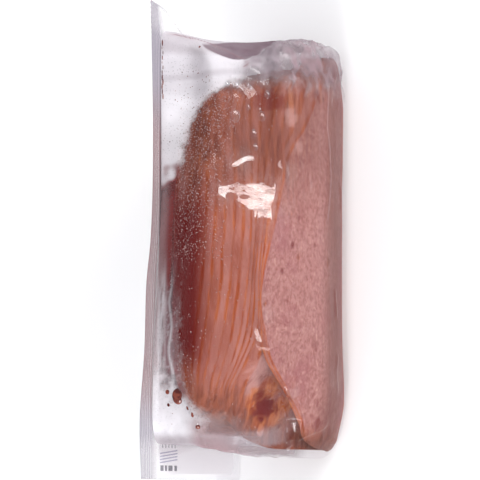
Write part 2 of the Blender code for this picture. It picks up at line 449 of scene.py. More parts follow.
def pocket_point(corner):
    """Place on the pocket, in pack coordinates, of a point of the unit cube."""
    x, y, z = rounded_block(corner)
    share = z / POCKET_WIDTH
    height = share * upper_wall(x, y)
    depth = x / POCKET_DEPTH * face_depth(y, share)
    dent = DENT_DEPTH * smooth(0, DENT_X, x) * bell(max(x, DENT_X), DENT_X, DENT_SPREAD)
    dent *= smooth(DENT_LOW_Z, DENT_HIGH_Z, height)
    length = y - dent * smooth(DENT_FROM, POCKET_TOP, y)
    length -= END_SAG * smooth(SAG_NEAR_X, SAG_FAR_X, x) * smooth(SAG_FROM, POCKET_BOTTOM, y)
    return (GAP + depth, length, height)


def segment_gap(place, start, end):
    """Distance of a place from a straight run, and the share of the run at the nearest point."""
    run = end - start
    share = min(1.0, max(0.0, (place - start).dot(run) / run.length_squared))
    return (place - start - run * share).length, share


class Fold:
    """A raised or sunken crease of the film along a route over the pocket."""

    def __init__(self, tree, height, half_width, route):
        self.height = height
        self.half_width = half_width
        self.route = []
        stops = [Vector(point) for point in route]
        for start, end in zip(stops, stops[1:]):
            steps = max(1, round((end - start).length / FOLD_STEP))
            self.route += [tree.find_nearest(start.lerp(end, step / steps))[0] for step in range(steps)]
        self.route.append(tree.find_nearest(stops[-1])[0])
        self.low = [min(point[axis] for point in self.route) - half_width for axis in range(3)]
        self.high = [max(point[axis] for point in self.route) + half_width for axis in range(3)]

    def rise(self, place):
        """How far the crease lifts the film at a place: most along its middle, nothing past its side."""
        for axis in range(3):
            if place[axis] < self.low[axis] or place[axis] > self.high[axis]:
                return 0.0
        runs = list(zip(self.route, self.route[1:]))
        gap, share, index = min((*segment_gap(place, *run), i) for i, run in enumerate(runs))
        if gap >= self.half_width:
            return 0.0
        done = (index + share) / len(runs)
        fade = min(1.0, done / FOLD_FADE, (1 - done) / FOLD_FADE)
        return self.height * smooth(0, 1, fade) * (1 - gap / self.half_width) ** FOLD_SHARPNESS


def crumple(x, y, z, size):
    """Random sharp-edged creases, from about -1 in the hollows to 1 on the edges."""
    return 1 - CRUMPLE_SHARPNESS * abs(noise.noise(Vector((x, y, z)) / size))


def film_relief(place, folds):
    """How far the film stands out from the pocket's plain form, in millimetres."""
    x, y, z = place
    rise = 0.2 * wander(x / 17, y / 24, z / 17) - FILM_INSET
    main_swell, _, swell_across, _ = SWELLS[0]
    calm = smooth(0.6, 1.0, gap_share(place, main_swell, swell_across))
    rise += 0.05 * calm * crumple(x / 1.2, y / 2.5, z, 9)
    upper = smooth(58, 80, y) * smooth(22, 36, x)
    rise += upper * (0.6 * crumple(x + 40, y, z, 8) + 0.16 * crumple(x, y + 9, z, 3.6))
    lower = smooth(-74, -88, y)
    rise += lower * 0.4 * crumple(x, y, z + 30, 10)
    corner = smooth(-56, -66, y) * smooth(26, 14, x)
    rise += corner * 0.16 * crumple(x, y + 5, z, 4.5)
    for centre, radius, height in BLISTERS:
        near = gap_share(place, centre, radius)
        if near < 1:
            rise += height * (1 - near * near) ** 2
    for centre, reach, across, height in SWELLS:
        slant = SWELL_SLANT * min(0.0, z - centre[2])
        t = (y - centre[1] + slant) / reach + 0.2 * wander(x / 6, y / 9, z / 6)
        if abs(t) < 1:
            aside = math.hypot(x - centre[0], z - centre[2]) / across
            rise -= height * math.sin(math.pi * t) * smooth(1.0, 0.6, aside)
    return rise + sum(fold.rise(place) for fold in folds)


def build_film_form():
    """The pocket's shell in pack coordinates, open at the lid."""
    bm = lattice(FILM_STRIPS)
    lid_faces = [f for f in bm.faces if all(v.co.x < -0.999 for v in f.verts)]
    bmesh.ops.delete(bm, geom=lid_faces, context="FACES")
    for vert in bm.verts:
        vert.co = pocket_point(vert.co)
    bm.normal_update()
    return bm


# ------------ the slices' form
# Heights from which rays are sent at the film
BELOW_PACK = -50.0
ABOVE_PACK = 150.0


class Hollow:
    """The space inside the film, read by rays in pack coordinates."""

    def __init__(self, bm):
        self.tree = BVHTree.FromBMesh(bm)

    def wall_below(self, x, y):
        """Height of the film's lower wall under (x, y)."""
        hit = self.tree.ray_cast(Vector((x, y, BELOW_PACK)), Vector((0, 0, 1)))[0]
        return hit.z if hit else 0.0

    def at_angle(self, y, degrees, inside):
        """Place at an angle around the fan's line, some way inside the film."""
        way = Vector((math.cos(math.radians(degrees)), 0, math.sin(math.radians(degrees))))
        hit = self.tree.ray_cast(Vector((FAN_X, max(y, FAN_LOW_END), FAN_Z)), way)[0]
        place = hit - way * inside
        place.y = y
        return place

    def keep_inside(self, place, clearance):
        """The place itself, or the nearest one that is clear of the film on its inside."""
        near, normal, _, _ = self.tree.find_nearest(place)
        inward = (near - place).dot(normal)
        if inward < clearance:
            return near - normal * clearance
        return place


def seam_angle(seam, y):
    """Angle of the seam of a number, counted from the lid, at place y along the pack."""
    below = max(number for number in SEAM_LINES if number <= seam)
    above = min(number for number in SEAM_LINES if number >= seam)
    if below == above:
        return along(SEAM_LINES[seam], y)
    share = (seam - below + SEAM_WANDER * wander(y / 13, seam * 3.7, 0)) / (above - below)
    return mix(along(SEAM_LINES[below], y), along(SEAM_LINES[above], y), share)


def front_rim_angle(y):
    """Angle of the front slice's back edge, which leaves the stack towards the lower end."""
    alone = along(SEAM_LINES[SLICES], y) + FRONT_RIM_ANGLE
    return mix(alone, seam_angle(SLICES - 1, y), smooth(SPLIT_LOW, SPLIT_HIGH, y))


def plain_depth(layer, y, z):
    """Depth of a boundary between evenly stacked slices at place y and height z."""
    ridge = along(RIDGE_HEIGHTS, y)
    face = face_depth(y, min(1.0, z / ridge)) - FILM_CLEARANCE
    return STACK_BACK + (face - STACK_BACK) * layer / SLICES


def room_under_film(y):
    """Room between the slices and the film's plain form: more where the film is crumpled or waved."""
    crumpled = CRUMPLE_ROOM * smooth(CRUMPLE_LOW, CRUMPLE_HIGH, y)
    return FILM_CLEARANCE + crumpled + WAVE_ROOM * bell(y, WAVE_MIDDLE, WAVE_REACH)


def corner_drop(share, drop):
    """Drop of a slice's rounded outline, from 0 where it leaves the film to drop at the end."""
    share = min(1.0, max(0.0, share))
    return drop * (1 - math.sqrt(max(0.0, 1 - share * share)))


class Slice:
    """One slice of the stack; index 0 is the front one."""

    def __init__(self, hollow, index):
        self.hollow = hollow
        self.back = SLICES - 1 - index
        self.upper, self.lower = SLICE_ENDS[index]
        self.index = index
        self.spans = {}

    def span(self, share, y, inset):
        """The seen edge's place, and the lowest and highest z of the outline."""
        back = front_rim_angle(y) if self.index == 0 else seam_angle(self.back, y)
        angle = mix(back, seam_angle(self.back + 1, y), share)
        edge = self.hollow.at_angle(y, angle, FILM_CLEARANCE + inset)
        leaves_up, upper_end, upper_drop = self.upper
        leaves_down, lower_end, lower_drop = self.lower
        high = edge.z - corner_drop((y - leaves_up) / (upper_end - leaves_up), upper_drop)
        high -= corner_drop((y - leaves_down) / (lower_end - leaves_down), lower_drop)
        low = self.hollow.wall_below(plain_depth(self.back + share, y, 4), y) + FILM_CLEARANCE + inset
        low += corner_drop((y - upper_end + FAR_CORNER) / FAR_CORNER, FAR_CORNER_DROP)
        low += corner_drop((lower_end + FAR_CORNER - y) / FAR_CORNER, FAR_CORNER_DROP)
        return edge, low, max(high, low + LEAST_HEIGHT)

    def rim_gold(self, across, y):
        """Share of bright honey-gold on the front slice's back edge, where it stands alone."""
        if self.index > 0:
            return 0.0
        uneven = 0.75 + 0.6 * wander(y / 5, 0, 9)
        gold = GOLD_RIM * smooth(0.2, -0.9, across) * smooth(40, -5, y)
        return gold * smooth(-84, -70, y) * uneven

    def shape(self, bm):
        """Turn a lattice into the slice, and note where each point lies in it."""
        layers = add_layers(bm, SLICE_LOOKS)
        tone = random.random()
        middle = (self.upper[1] + self.lower[1]) / 2
        half = (self.upper[1] - self.lower[1]) / 2
        for vert in bm.verts:
            across, length, up = vert.co
            across = math.sin(across * math.pi / 2)
            length = 0.55 * length + 0.45 * math.sin(length * math.pi / 2)
            share = across * (0.5 - SLICE_GAP) + 0.5
            inset = RIM_ROUND * (1 - math.sqrt(max(0.0, 1 - 0.98 * across * across)))
            y = middle + length * (half - inset)
            key = (round(across, 4), round(length, 5))
            if key not in self.spans:
                self.spans[key] = self.span(share, y, inset)
            edge, low, high = self.spans[key]
            z = mix(low, high, (up + 1) / 2)
            layer = self.back + share
            bend = edge.x - plain_depth(layer, y, edge.z)
            x = plain_depth(layer, y, z) + bend * smooth(edge.z - BEND_REACH, edge.z, z)
            place = self.hollow.keep_inside(Vector((x, y, z)), room_under_film(y))
            spotted = CLEAN_SHARE if self.index == 0 and y < CLEAN_BELOW else 1.0
            note_looks(vert, layers, {
                "inward": min(z - low, high - z, half - inset - abs(y - middle)) + inset,
                "across": across,
                "tone": tone,
                "juice": juice(place),
                "brown": browning(place),
                "shade": shading(place),
                "gold": max(spotted * near_spots(place, GOLD_SPOTS), self.rim_gold(across, y)),
                "pale": spotted * near_spots(place, PALE_SPOTS),
            })
            vert.co = to_world(place)


def near_spots(place, spots):
    """Share of the strongest of some spots at a place."""
    share = 0.0
    uneven = 1 + 0.35 * noise.noise(Vector(place) / 3.5) + 0.4 * noise.noise(Vector(place) / 1.7)
    for centre, radius, strength in spots:
        x, y, z = (p - c for p, c in zip(place, centre))
        off = Vector((x * SPOT_DEPTH_SCALE, y, z)).length
        share = max(share, strength * smooth(1.0, 0.5, uneven * off / radius))
    return share


def juice(place):
    """Share of dark red over the ham at a place, meat juice and painted shade together: most by the lid,
    below the head-space, where the slices turn away from the light, and in the dark spots.
    """
    x, y, z = place
    dark = smooth(32, 20, x) * smooth(34, 6, y) * smooth(-68, -46, y)
    return min(1.0, max(dark, near_spots(place, DARK_SPOTS)))


def shading(place):
    """Share of painted shade on the ham: along the floor side of the face, at the upper end and towards
    the lower end.
    """
    x, y, z = place
    wavy = 2.5 * wander(0, y / 15, 4)
    low_band = 0.9 * smooth(36, 20, z + wavy) * mix(0.45, 1.0, smooth(4, 14, z))
    upper = 0.5 * smooth(5, 45, y)
    lower = 0.4 * smooth(-62, -84, y) * smooth(42, 32, x)
    return min(1.0, max(low_band, upper, lower, 0.5 * smooth(-84, -90, y)))


def browning(place):
    """Share of honey-brown on the ham at a place, and of a browner band along the floor side of the face.
    """
    x, y, z = place
    uneven = wander(x / 4, y / 14, z / 9)
    upper = (0.55 + 0.5 * uneven) * smooth(0, 36, y) * smooth(58, 48, x)
    lower = (0.85 + 0.3 * uneven) * smooth(-56, -74, y) * smooth(46, 34, x)
    end = 0.8 * smooth(-79, -87, y)
    # Browner along the floor side of the face.
    low_band = (0.2 + 0.25 * wander(0, y / 22, 3)) * smooth(35, 20, z)
    return min(1.0, max(upper, lower, end, low_band, near_spots(place, HONEY_SPOTS)))


# ------------ materials
# Tones as display values from 0 to 255; a pair holds the two tones of one pattern
MOTTLED_PINKS = ((136, 83, 79), (166, 118, 112))
CLOUD_PINK = (142, 85, 87)
FIBRE_PINK = (196, 152, 140)
RIM_BROWNS = ((140, 76, 60), (166, 106, 94))
RIM_PINK = (170, 118, 110)
RIM_LINES = ((138, 58, 28), (168, 90, 54))
CRUST_BROWNS = ((102, 46, 30), (148, 82, 58))
GOLDS = ((150, 64, 28), (192, 112, 60))
PALE_AND_LIT_TONE = (212, 164, 156)
DARK_SHADE = (84, 44, 38)
DARK_JUICE_AND_SHADE = (98, 12, 10)
CLEAR_HAZE = (250, 248, 253)
GREY_HAZE_AND_SHADE = (124, 103, 113)
WINE_HAZE = (160, 82, 82)
# Pale tone of the moisture beads, partly a painted glint.
BEAD_PALE_AND_GLINT = (222, 184, 178)
# White of the clear drops' rims: a painted glint.
DROP_GLINT_WHITE = (214, 222, 232)
JUICE_REDS = ((78, 26, 24), (128, 62, 48))
SEAL_GREYS = ((162, 136, 139), (168, 162, 172))
PAPER_WHITES = ((248, 248, 251), (254, 254, 255))
FLOOR_WHITES = ((244, 244, 245), (248, 248, 249))
INKS = {"lavender": (176, 174, 198), "grey": (96, 96, 108), "honey": (214, 158, 74)}
# How far the lighter tone of an ink is lifted towards white
INK_LIFT = 0.16
# Share of red, green and blue light that each clear film lets through, and alpha
FILM_TINT = (0.97, 0.96, 0.97, 1.0)
BEAD_TINT = (0.97, 0.95, 0.95, 1.0)
DROP_TINT = (0.95, 0.96, 0.98, 1.0)
SEAL_TINT = (0.99, 0.985, 0.99, 1.0)
GLOSS_COLOUR = (1.0, 1.0, 1.0, 1.0)
# Share of a milky haze that is lit from behind
MILK_THROUGH = 0.3


def colour(tone):
    """A tone as the shader's own linear colour; a colour that comes from a node stays as it is."""
    if isinstance(tone, bpy.types.NodeSocket):
        return tone
    parts = []
    for value in tone:
        share = value / 255
        parts.append(share / 12.92 if share <= 0.04045 else ((share + 0.055) / 1.055) ** 2.4)
    return (*parts, 1.0)


class Finish:
    """A material whose nodes are added one by one."""

    def __init__(self, name):
        self.material = bpy.data.materials.new(name)
        self.material.use_nodes = True
        self.tree = self.material.node_tree
        self.tree.nodes.clear()
        self.output = self.tree.nodes.new("ShaderNodeOutputMaterial")
        self.coordinates = self.tree.nodes.new("ShaderNodeTexCoord").outputs["Object"]

    def node(self, kind, output, inputs=None, **settings):
        """An output of a new node. Its settings are made first, and then its inputs are filled."""
        made = self.tree.nodes.new("ShaderNode" + kind)
        for key, value in settings.items():
            setattr(made, key, value)
        for key, value in (inputs or {}).items():
            if isinstance(value, bpy.types.NodeSocket):
                self.tree.links.new(value, made.inputs[key])
            else:
                made.inputs[key].default_value = value
        return made.outputs[output]

    def principled(self, **inputs):
        """A plain surface; the names of its inputs are written with _ for each space."""
        named = {key.replace("_", " "): value for key, value in inputs.items()}
        return self.node("BsdfPrincipled", "BSDF", named)

    def scaled(self, x, y, z):
        """Object coordinates stretched by a factor on each axis."""
        return self.node("Mapping", "Vector", {"Vector": self.coordinates, "Scale": (x, y, z)})

    def noise(self, scale, detail=3.0, roughness=0.55, vector=None, distortion=0.0):
        return self.node("TexNoise", "Fac", {
            "Vector": vector or self.coordinates, "Scale": scale, "Detail": detail,
            "Roughness": roughness, "Distortion": distortion,
        })

    def cells(self, scale, vector):
        """Distance to the nearest of many scattered points."""
        return self.node("TexVoronoi", "Distance", {"Vector": vector, "Scale": scale})

    def ramp(self, value, low, high):
        """A soft step of a value from low to high."""
        return self.node("MapRange", "Result", {"Value": value, "From Min": low, "From Max": high},
                         interpolation_type="SMOOTHSTEP")

    def blend(self, share, first, second):
        """A colour between two, which are tones or blended colours."""
        return self.node("Mix", 2, {0: share, 6: colour(first), 7: colour(second)}, data_type="RGBA")

    def math(self, operation, first, second=0.0, clamp=False):
        return self.node("Math", 0, {0: first, 1: second}, operation=operation, use_clamp=clamp)

    plus = partialmethod(math, "ADD")
    minus = partialmethod(math, "SUBTRACT")
    times = partialmethod(math, "MULTIPLY")

    def attribute(self, name):
        return self.node("Attribute", "Fac", attribute_name=name, attribute_type="GEOMETRY")

    def bump(self, height, strength, distance):
        return self.node("Bump", "Normal", {"Height": height, "Strength": strength, "Distance": distance})

    def facing(self):
        """How far the surface is turned away: 0 seen straight on, 1 seen edge-on."""
        return self.node("LayerWeight", "Facing", {"Blend": 0.5})

    def mixed(self, share, first, second):
        """A shader between two shaders."""
        return self.node("MixShader", "Shader", {0: share, 1: first, 2: second})

    def clear_sheet(self, tint, roughness, low=0.04, high=0.85):
        """A thin clear film that mirrors a low share of the light straight on and more edge-on."""
        sheen = self.plus(self.times(self.math("POWER", self.facing(), 5.0), high), low, clamp=True)
        clear = self.node("BsdfTransparent", "BSDF", {"Color": tint})
        gloss = self.node("BsdfGlossy", "BSDF", {"Color": GLOSS_COLOUR, "Roughness": roughness})
        return self.mixed(sheen, clear, gloss)

    def milk(self, tone):
        """A milky haze that is lit from both sides."""
        front = self.node("BsdfDiffuse", "BSDF", {"Color": colour(tone)})
        through = self.node("BsdfTranslucent", "BSDF", {"Color": colour(tone)})
        return self.mixed(MILK_THROUGH, front, through)

    def finish(self, shader):
        self.tree.links.new(shader, self.output.inputs["Surface"])
        return self.material


def ham_finish():
    """Cooked ham: mottled pink on the cuts, honey-browned along the rim."""
    ham = Finish("sliced_ham")
    mottle = ham.noise(420, 5.0, 0.7)
    clouds = ham.noise(38, 4.0)
    fibres = ham.noise(520, 4.0, 0.65, ham.scaled(0.7, 0.6, 1.0), 1.2)
    pink = ham.blend(ham.ramp(mottle, 0.33, 0.67), *MOTTLED_PINKS)
    pink = ham.blend(ham.times(ham.ramp(clouds, 0.47, 0.66), 0.6), pink, CLOUD_PINK)
    pink = ham.blend(ham.times(ham.ramp(fibres, 0.54, 0.68), 0.5), pink, FIBRE_PINK)
    across = ham.math("ABSOLUTE", ham.attribute("across"))
    strand = ham.noise(150, 5.0, 0.68, ham.scaled(1.0, 0.25, 1.0), 0.5)
    threads = ham.noise(420, 2.0, 0.6, ham.scaled(1.0, 0.05, 1.0))
    rim_strip = ham.blend(ham.ramp(strand, 0.35, 0.7), *RIM_BROWNS)
    rim_strip = ham.blend(ham.times(ham.attribute("tone"), 0.6), rim_strip, RIM_PINK)
    rim_line = ham.blend(ham.ramp(threads, 0.3, 0.7), *RIM_LINES)
    patchy = ham.ramp(ham.noise(60, 3.0, 0.6, ham.scaled(2.5, 0.6, 2.5)), 0.38, 0.58)
    ragged = ham.plus(across, ham.times(ham.minus(strand, 0.5), 0.9))
    line = ham.times(ham.ramp(ragged, 0.4, 1.0), ham.plus(patchy, 0.25), clamp=True)
    rim = ham.blend(line, rim_strip, rim_line)
    reach = ham.plus(ham.attribute("inward"), ham.times(strand, -1.2))
    surface = ham.blend(ham.ramp(reach, 0.1, 1.2), rim, pink)
    crust = ham.blend(ham.ramp(threads, 0.35, 0.65), *CRUST_BROWNS)
    gold = ham.blend(ham.ramp(threads, 0.3, 0.7), *GOLDS)
    surface = ham.blend(ham.attribute("brown"), surface, crust)
    # Pale spots, partly painted light on the shaded second slice by the wedge.
    surface = ham.blend(ham.attribute("pale"), surface, PALE_AND_LIT_TONE)
    # Gold spots and rim, partly painted light in the shaded gap behind the front slice.
    surface = ham.blend(ham.attribute("gold"), surface, gold)
    # Painted shade: darker along the floor side of the face and towards the ends.
    surface = ham.blend(ham.times(ham.attribute("shade"), 0.65), surface, DARK_SHADE)
    # Dark red of meat juice, with painted shade by the lid and in the gap at the wedge.
    surface = ham.blend(ham.attribute("juice"), surface, DARK_JUICE_AND_SHADE)
    shader = ham.principled(
        Base_Color=surface, Roughness=0.5, Specular_IOR_Level=0.08, Subsurface_Weight=0.1,
        Subsurface_Scale=0.004, Subsurface_Radius=(1.0, 0.35, 0.25), Normal=ham.bump(mottle, 0.35, 0.0004),
    )
    return ham.finish(shader)


def film_finish():
    """Clear glossy film with milky haze where it stands off the ham, and fine beads of moisture."""
    film = Finish("pocket_film")
    mist = film.attribute("mist")
    brushed = film.ramp(film.noise(230, 4.0, 0.65, film.scaled(0.6, 1.0, 0.6)), 0.34, 0.6)
    shine = film.times(film.attribute("shine"), film.plus(film.times(brushed, 0.04), 0.012))
    sheet = film.clear_sheet(FILM_TINT, 0.075, film.plus(shine, 0.02), 0.5)
    cloud = film.ramp(film.noise(60, 4.0), 0.3, 0.75)
    beads = film.times(film.ramp(film.cells(900.0, film.coordinates), 0.24, 0.12), mist)
    holes = film.times(film.ramp(film.cells(1150.0, film.scaled(1.0, 0.8, 1.0)), 0.3, 0.16), mist)
    haze = film.times(film.attribute("haze"), film.plus(film.times(cloud, 0.22), 0.8), clamp=True)
    edge = film.minus(1.0, film.math("ABSOLUTE", film.minus(film.times(haze, 2.0), 1.0)))
    haze = film.minus(haze, film.times(holes, film.times(edge, 0.7)), clamp=True)
    amount = film.math("MAXIMUM", haze, film.times(beads, 0.5))
    # The grey tone is partly painted shade, on the film's end wall and in its dent.
    tone = film.blend(film.attribute("dull"), CLEAR_HAZE, GREY_HAZE_AND_SHADE)
    milk = film.milk(film.blend(film.attribute("wine"), tone, WINE_HAZE))
    return film.finish(film.mixed(amount, sheet, milk))


def moisture_finish():
    """Small pale beads of moisture; their pale tone is partly a painted glint."""
    bead = Finish("moisture")
    share = bead.plus(bead.times(bead.noise(400, 1.0), 0.5), 0.15)
    return bead.finish(bead.mixed(share, bead.clear_sheet(BEAD_TINT, 0.04), bead.milk(BEAD_PALE_AND_GLINT)))


def clear_drop_finish():
    """Clear drops with a painted glint: a white rim where they turn edge-on."""
    drop = Finish("clear_drop")
    rim = drop.times(drop.ramp(drop.facing(), 0.35, 0.95), drop.ramp(drop.noise(500, 1.0), 0.35, 0.6))
    return drop.finish(drop.mixed(rim, drop.clear_sheet(DROP_TINT, 0.02), drop.milk(DROP_GLINT_WHITE)))


def juice_finish():
    """Dark red meat juice."""
    drop = Finish("meat_juice")
    tone = drop.blend(drop.ramp(drop.noise(300, 2.0), 0.4, 0.6), *JUICE_REDS)
    return drop.finish(drop.principled(Base_Color=tone, Roughness=0.12))


def flange_finish():
    """The seal's film: greyer and less clear than the pocket's."""
    seal = Finish("seal_film")
    milk = seal.milk(seal.blend(seal.attribute("cool"), *SEAL_GREYS))
    return seal.finish(seal.mixed(seal.attribute("milky"), seal.clear_sheet(SEAL_TINT, 0.1), milk))


def paper_finish():
    """Smooth white label paper with a faint grain."""
    paper = Finish("label_paper")
    grain = paper.noise(900, 2.0)
    tone = paper.blend(grain, *PAPER_WHITES)
    shader = paper.principled(Base_Color=tone, Roughness=0.42, Normal=paper.bump(grain, 0.1, 0.0001))
    return paper.finish(shader)


def floor_finish():
    """A pale matte floor."""
    ground = Finish("pale_floor")
    tone = ground.blend(ground.noise(6, 2.0), *FLOOR_WHITES)
    return ground.finish(ground.principled(Base_Color=tone, Roughness=0.9))


def ink_finish(name):
    """Matte ink with a slight unevenness."""
    ink = Finish(name + "_ink")
    lighter = tuple(value + (255 - value) * INK_LIFT for value in INKS[name])
    tone = ink.blend(ink.ramp(ink.noise(700, 2.0), 0.35, 0.7), INKS[name], lighter)
    return ink.finish(ink.principled(Base_Color=tone, Roughness=0.5))


# ------------ pieces
def build_stack(hollow, material):
    """The eleven slices nearest the lid, in one mesh."""
    joined = bmesh.new()
    for index in range(2, SLICES):
        bm = lattice(SLICE_STRIPS)
        Slice(hollow, index).shape(bm)
        mesh = bpy.data.meshes.new("slice")
        bm.to_mesh(mesh)
        bm.free()
        joined.from_mesh(mesh)
        bpy.data.meshes.remove(mesh)
    return add_piece("ham_slices", joined, material, sharp_angle=SLICE_SHARP)


def build_slice(hollow, name, index, strips, material):
    """One slice as a piece of its own."""
    bm = lattice(strips)
    Slice(hollow, index).shape(bm)
    return add_piece(name, bm, material, sharp_angle=SLICE_SHARP)


FILM_LOOKS = ("haze", "dull", "wine", "mist", "shine")
FULL_HAZE = 0.97


def head_space(place, uneven, fine):
    """Share of film that stands off the ham: beyond the last slice by the lid, and at the upper end."""
    x, y, z = place
    past = math.degrees(math.atan2(z - FAN_Z, x - FAN_X)) - seam_angle(0, y)
    soft = 4 * smooth(-70, -80, y)
    by_lid = smooth(-4.5 - soft, 0.5 + soft, past + 1.5 * uneven + 1.5 * fine)
    by_end = smooth(66, 74, y + 1.5 * fine) * smooth(42, 28, x)
    return max(by_lid, by_end) * smooth(26, 45, z)


def rumpled_haze(place, uneven):
    """Haze of the crumpled film over the ham's upper end."""
    x, y, z = place
    wisps = wander(x / 3, y / 6, z / 3)
    haze = smooth(64, 79, y + 5 * wisps) * smooth(24, 34, x) * (0.9 + 0.8 * uneven)
    inner = mix(0.55, 0.88, smooth(67, 74, y + 3 * wisps))
    outer = mix(0.45, 0.75, smooth(67, 75, y + 3 * wisps))
    haze *= mix(inner, outer, smooth(42, 52, x)) * mix(0.55, 1.0, smooth(10, 34, z))
    return haze


def lower_haze(x, y, veil):
    """Haze of the lower end, which stops at the fold there, and the thin veil above it."""
    fold_y = -90 + 0.6 * max(0.0, x - 36)
    haze = 0.7 * smooth(fold_y + 8, fold_y + 3, y) * smooth(44, 36, x)
    haze *= mix(1.0, smooth(fold_y - 2, fold_y, y), smooth(28, 36, x))
    return max(haze * mix(1.0, 0.65, smooth(24, 34, x)), 0.44 * veil)


def film_looks(place, normal, crease):
    """The film's looks at a place; crease is the share of the dark line along its upper end."""
    x, y, z = place
    uneven = noise.noise(place / 5)
    fine = noise.noise(place / 1.4)
    streak = wander(x / 3, y / 16, 1)
    off_ham = head_space(place, uneven, fine)
    upper = smooth(6, 30, y - 0.8 * x + 8 * uneven)
    lower = smooth(-52, -70, y + 0.6 * x - 4 + 8 * uneven + 4 * fine)
    side = off_ham * (1 - upper) * (1 - lower)
    rumple = rumpled_haze(place, uneven)
    veil = smooth(-75, -85, y + 3 * uneven) * smooth(12, 20, x) * smooth(36, 24, x)
    # Painted shade: the film's end wall, which faces the upper end, is made hazy and grey, most in its
    # dent, where it lies in shade.
    shaded_end_wall = smooth(0.72, 0.86, normal.y) * smooth(38, 33, x)
    dent = shaded_end_wall * smooth(12, 18, x)
    haze = max(
        0.97 * off_ham * upper,
        0.94 * off_ham * lower,
        side * mix(0.92, 0.5, smooth(6.5, 10, x) * smooth(-45, -20, y)),
        rumple,
        lower_haze(x, y, veil),
        0.9 * shaded_end_wall,
        0.95 * crease,
    )
    # Painted highlights: white streaks and a thin wavy white line in the haze along the flange's root,
    # together with pale specks of condensation.
    white = max(
        smooth(-0.5, 0.1, wander(x / 1.4, y / 9, 8)) * bell(x, 3.8, 2.6),
        0.9 * bell(x, 9.3 + 0.8 * math.sin(y / 3.5), 0.8),
        0.5 * smooth(0.15, 0.45, fine),
    )
    white *= smooth(-10, -26, y) * smooth(0.1, 0.5, side)
    by_root = mix(0.25, 0.85, smooth(3, 8, x)) + 0.3 * streak
    grey = max(
        0.8 * smooth(28, 36, x) * smooth(62, 76, y),
        1.2 * dent,
        0.4 * shaded_end_wall,
        crease,
        0.6 * smooth(-76, -86, y) * smooth(12, 30, x),
        0.6 * smooth(-84, -89, y),
        0.5 * smooth(79, 86, y),
        0.4 * bell(y, 72 + 0.1 * x, 2.5),
        0.22 * smooth(62, 68, y),
        by_root * smooth(0.0, 0.9, side) * smooth(20, -20, y),
    )
    wine = max(
        smooth(0.0, 0.3, side) * smooth(-40, -4, y + 14 * streak) * mix(0.72, 1.0, smooth(2, 7, x)),
        0.75 * side * smooth(7, 13, x),
        0.4 * side,
        0.2 * rumple * smooth(44, 52, x),
        0.25 * crease,
        0.4 * veil,
    )
    high = smooth(45, 60, z)
    mist = max(
        smooth(0, 14, y) * smooth(38, 20, x) * high,
        0.6 * smooth(-40, -60, y) * smooth(30, 18, x) * high,
        side,
        0.15 * high,
    )
    shine = max(smooth(1.0, 0.3, gap_share(place, *spot)) for spot in SHINE_SPOTS)
    looks = (min(FULL_HAZE, haze), grey * (1 - 0.95 * white), wine * (1 - white), mist, shine)
    return {name: min(1.0, max(0.0, value)) for name, value in zip(FILM_LOOKS, looks)}


def build_film(bm, folds, creases, material):
    """The film shell: the pocket's form with its relief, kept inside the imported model's box."""
    layers = add_layers(bm, FILM_LOOKS)
    moved = []
    for vert in bm.verts:
        crease = max(fold.rise(vert.co) / fold.height for fold in creases)
        note_looks(vert, layers, film_looks(vert.co, vert.normal, crease))
        place = vert.co + vert.normal * film_relief(vert.co, folds)
        place.x = min(place.x, GAP + POCKET_DEPTH)
        place.z = max(place.z, 0.0)
        moved.append(place)
    for vert, place in zip(bm.verts, moved):
        vert.co = to_world(place)
    return add_piece("pocket_film", bm, material)


# ------------ moisture and juice under the film
# Beads and fine juice: their number, and the ranges of their radius and of their stretch
FINE_BEADS = 1500
FINE_BEAD_SIZES = (0.14, 0.3), (0.8, 1.5)
SCATTERED_BEADS = 640
SCATTERED_BEAD_SIZES = (0.12, 0.3), (0.8, 1.6)
FINE_JUICE = 110
FINE_JUICE_SIZES = (0.1, 0.26), (0.8, 1.5)
# How far the middle of each kind lies below the film's surface
BEAD_DEPTH = 0.1
CLEAR_DROP_DEPTH = 0.2
JUICE_DROP_DEPTH = 0.25
FINE_JUICE_DEPTH = -0.02
ROOT_STAIN_DEPTH = 0.05
LARGE_DROP_DETAIL = 3
CLEAR_DROP_STRETCH = 1.6
CLEAR_DROP_FLATNESS = 0.45
JUICE_DROP_FLATNESS = 0.35
# The large clear drops: x, y and radius
CLEAR_DROPS = ((33, 55, 2.0), (42, 55, 1.5), (40, 47, 1.3), (37, 59, 0.9), (41, 58, 0.8), (43, 65, 1.2),
               (37, 68, 0.9), (41, 41, 1.1), (29, 69, 1.0), (32, 69, 0.9), (36, 69, 1.0))
# The large juice drops: x, y, radius and stretch along the pack
JUICE_DROPS = ((11.5, -69.5, 2.6, 1.4), (7, -73, 1.0, 1.3), (7, -67.5, 1.1, 1.2), (16, -74.5, 1.1, 1.2),
               (18, -77.5, 0.9, 1.5), (20, -83, 1.1, 1.2), (13, -81, 0.7, 1.0), (21, 59, 0.7, 1.2),
               (17, 57, 0.7, 1.0), (15, 87, 0.8, 1.4), (17, 84, 0.7, 1.0))
# The stain along the root of the flange: its ends, and the number, radii and stretch of its beads
ROOT_STAIN = (64, 88)
ROOT_BEADS = 12
ROOT_RADII = (0.16, 0.32)
ROOT_STRETCH = 5.0


def add_bead(bm, place, normal, radius, stretch, detail=1, flatness=0.5):
    """A flattened round bead on the film's inner side, stretched along the pack."""
    away = normal.normalized()
    along_pack = (Vector((0, 1, 0)) - away * away.y).normalized()
    turn = turned(along_pack, away.cross(along_pack), away)
    size = Matrix.Diagonal((radius * stretch * MM, radius * MM, radius * flatness * MM, 1.0))
    bmesh.ops.create_icosphere(bm, subdivisions=detail, radius=1.0,
                               matrix=Matrix.Translation(to_world(place)) @ turn @ size)


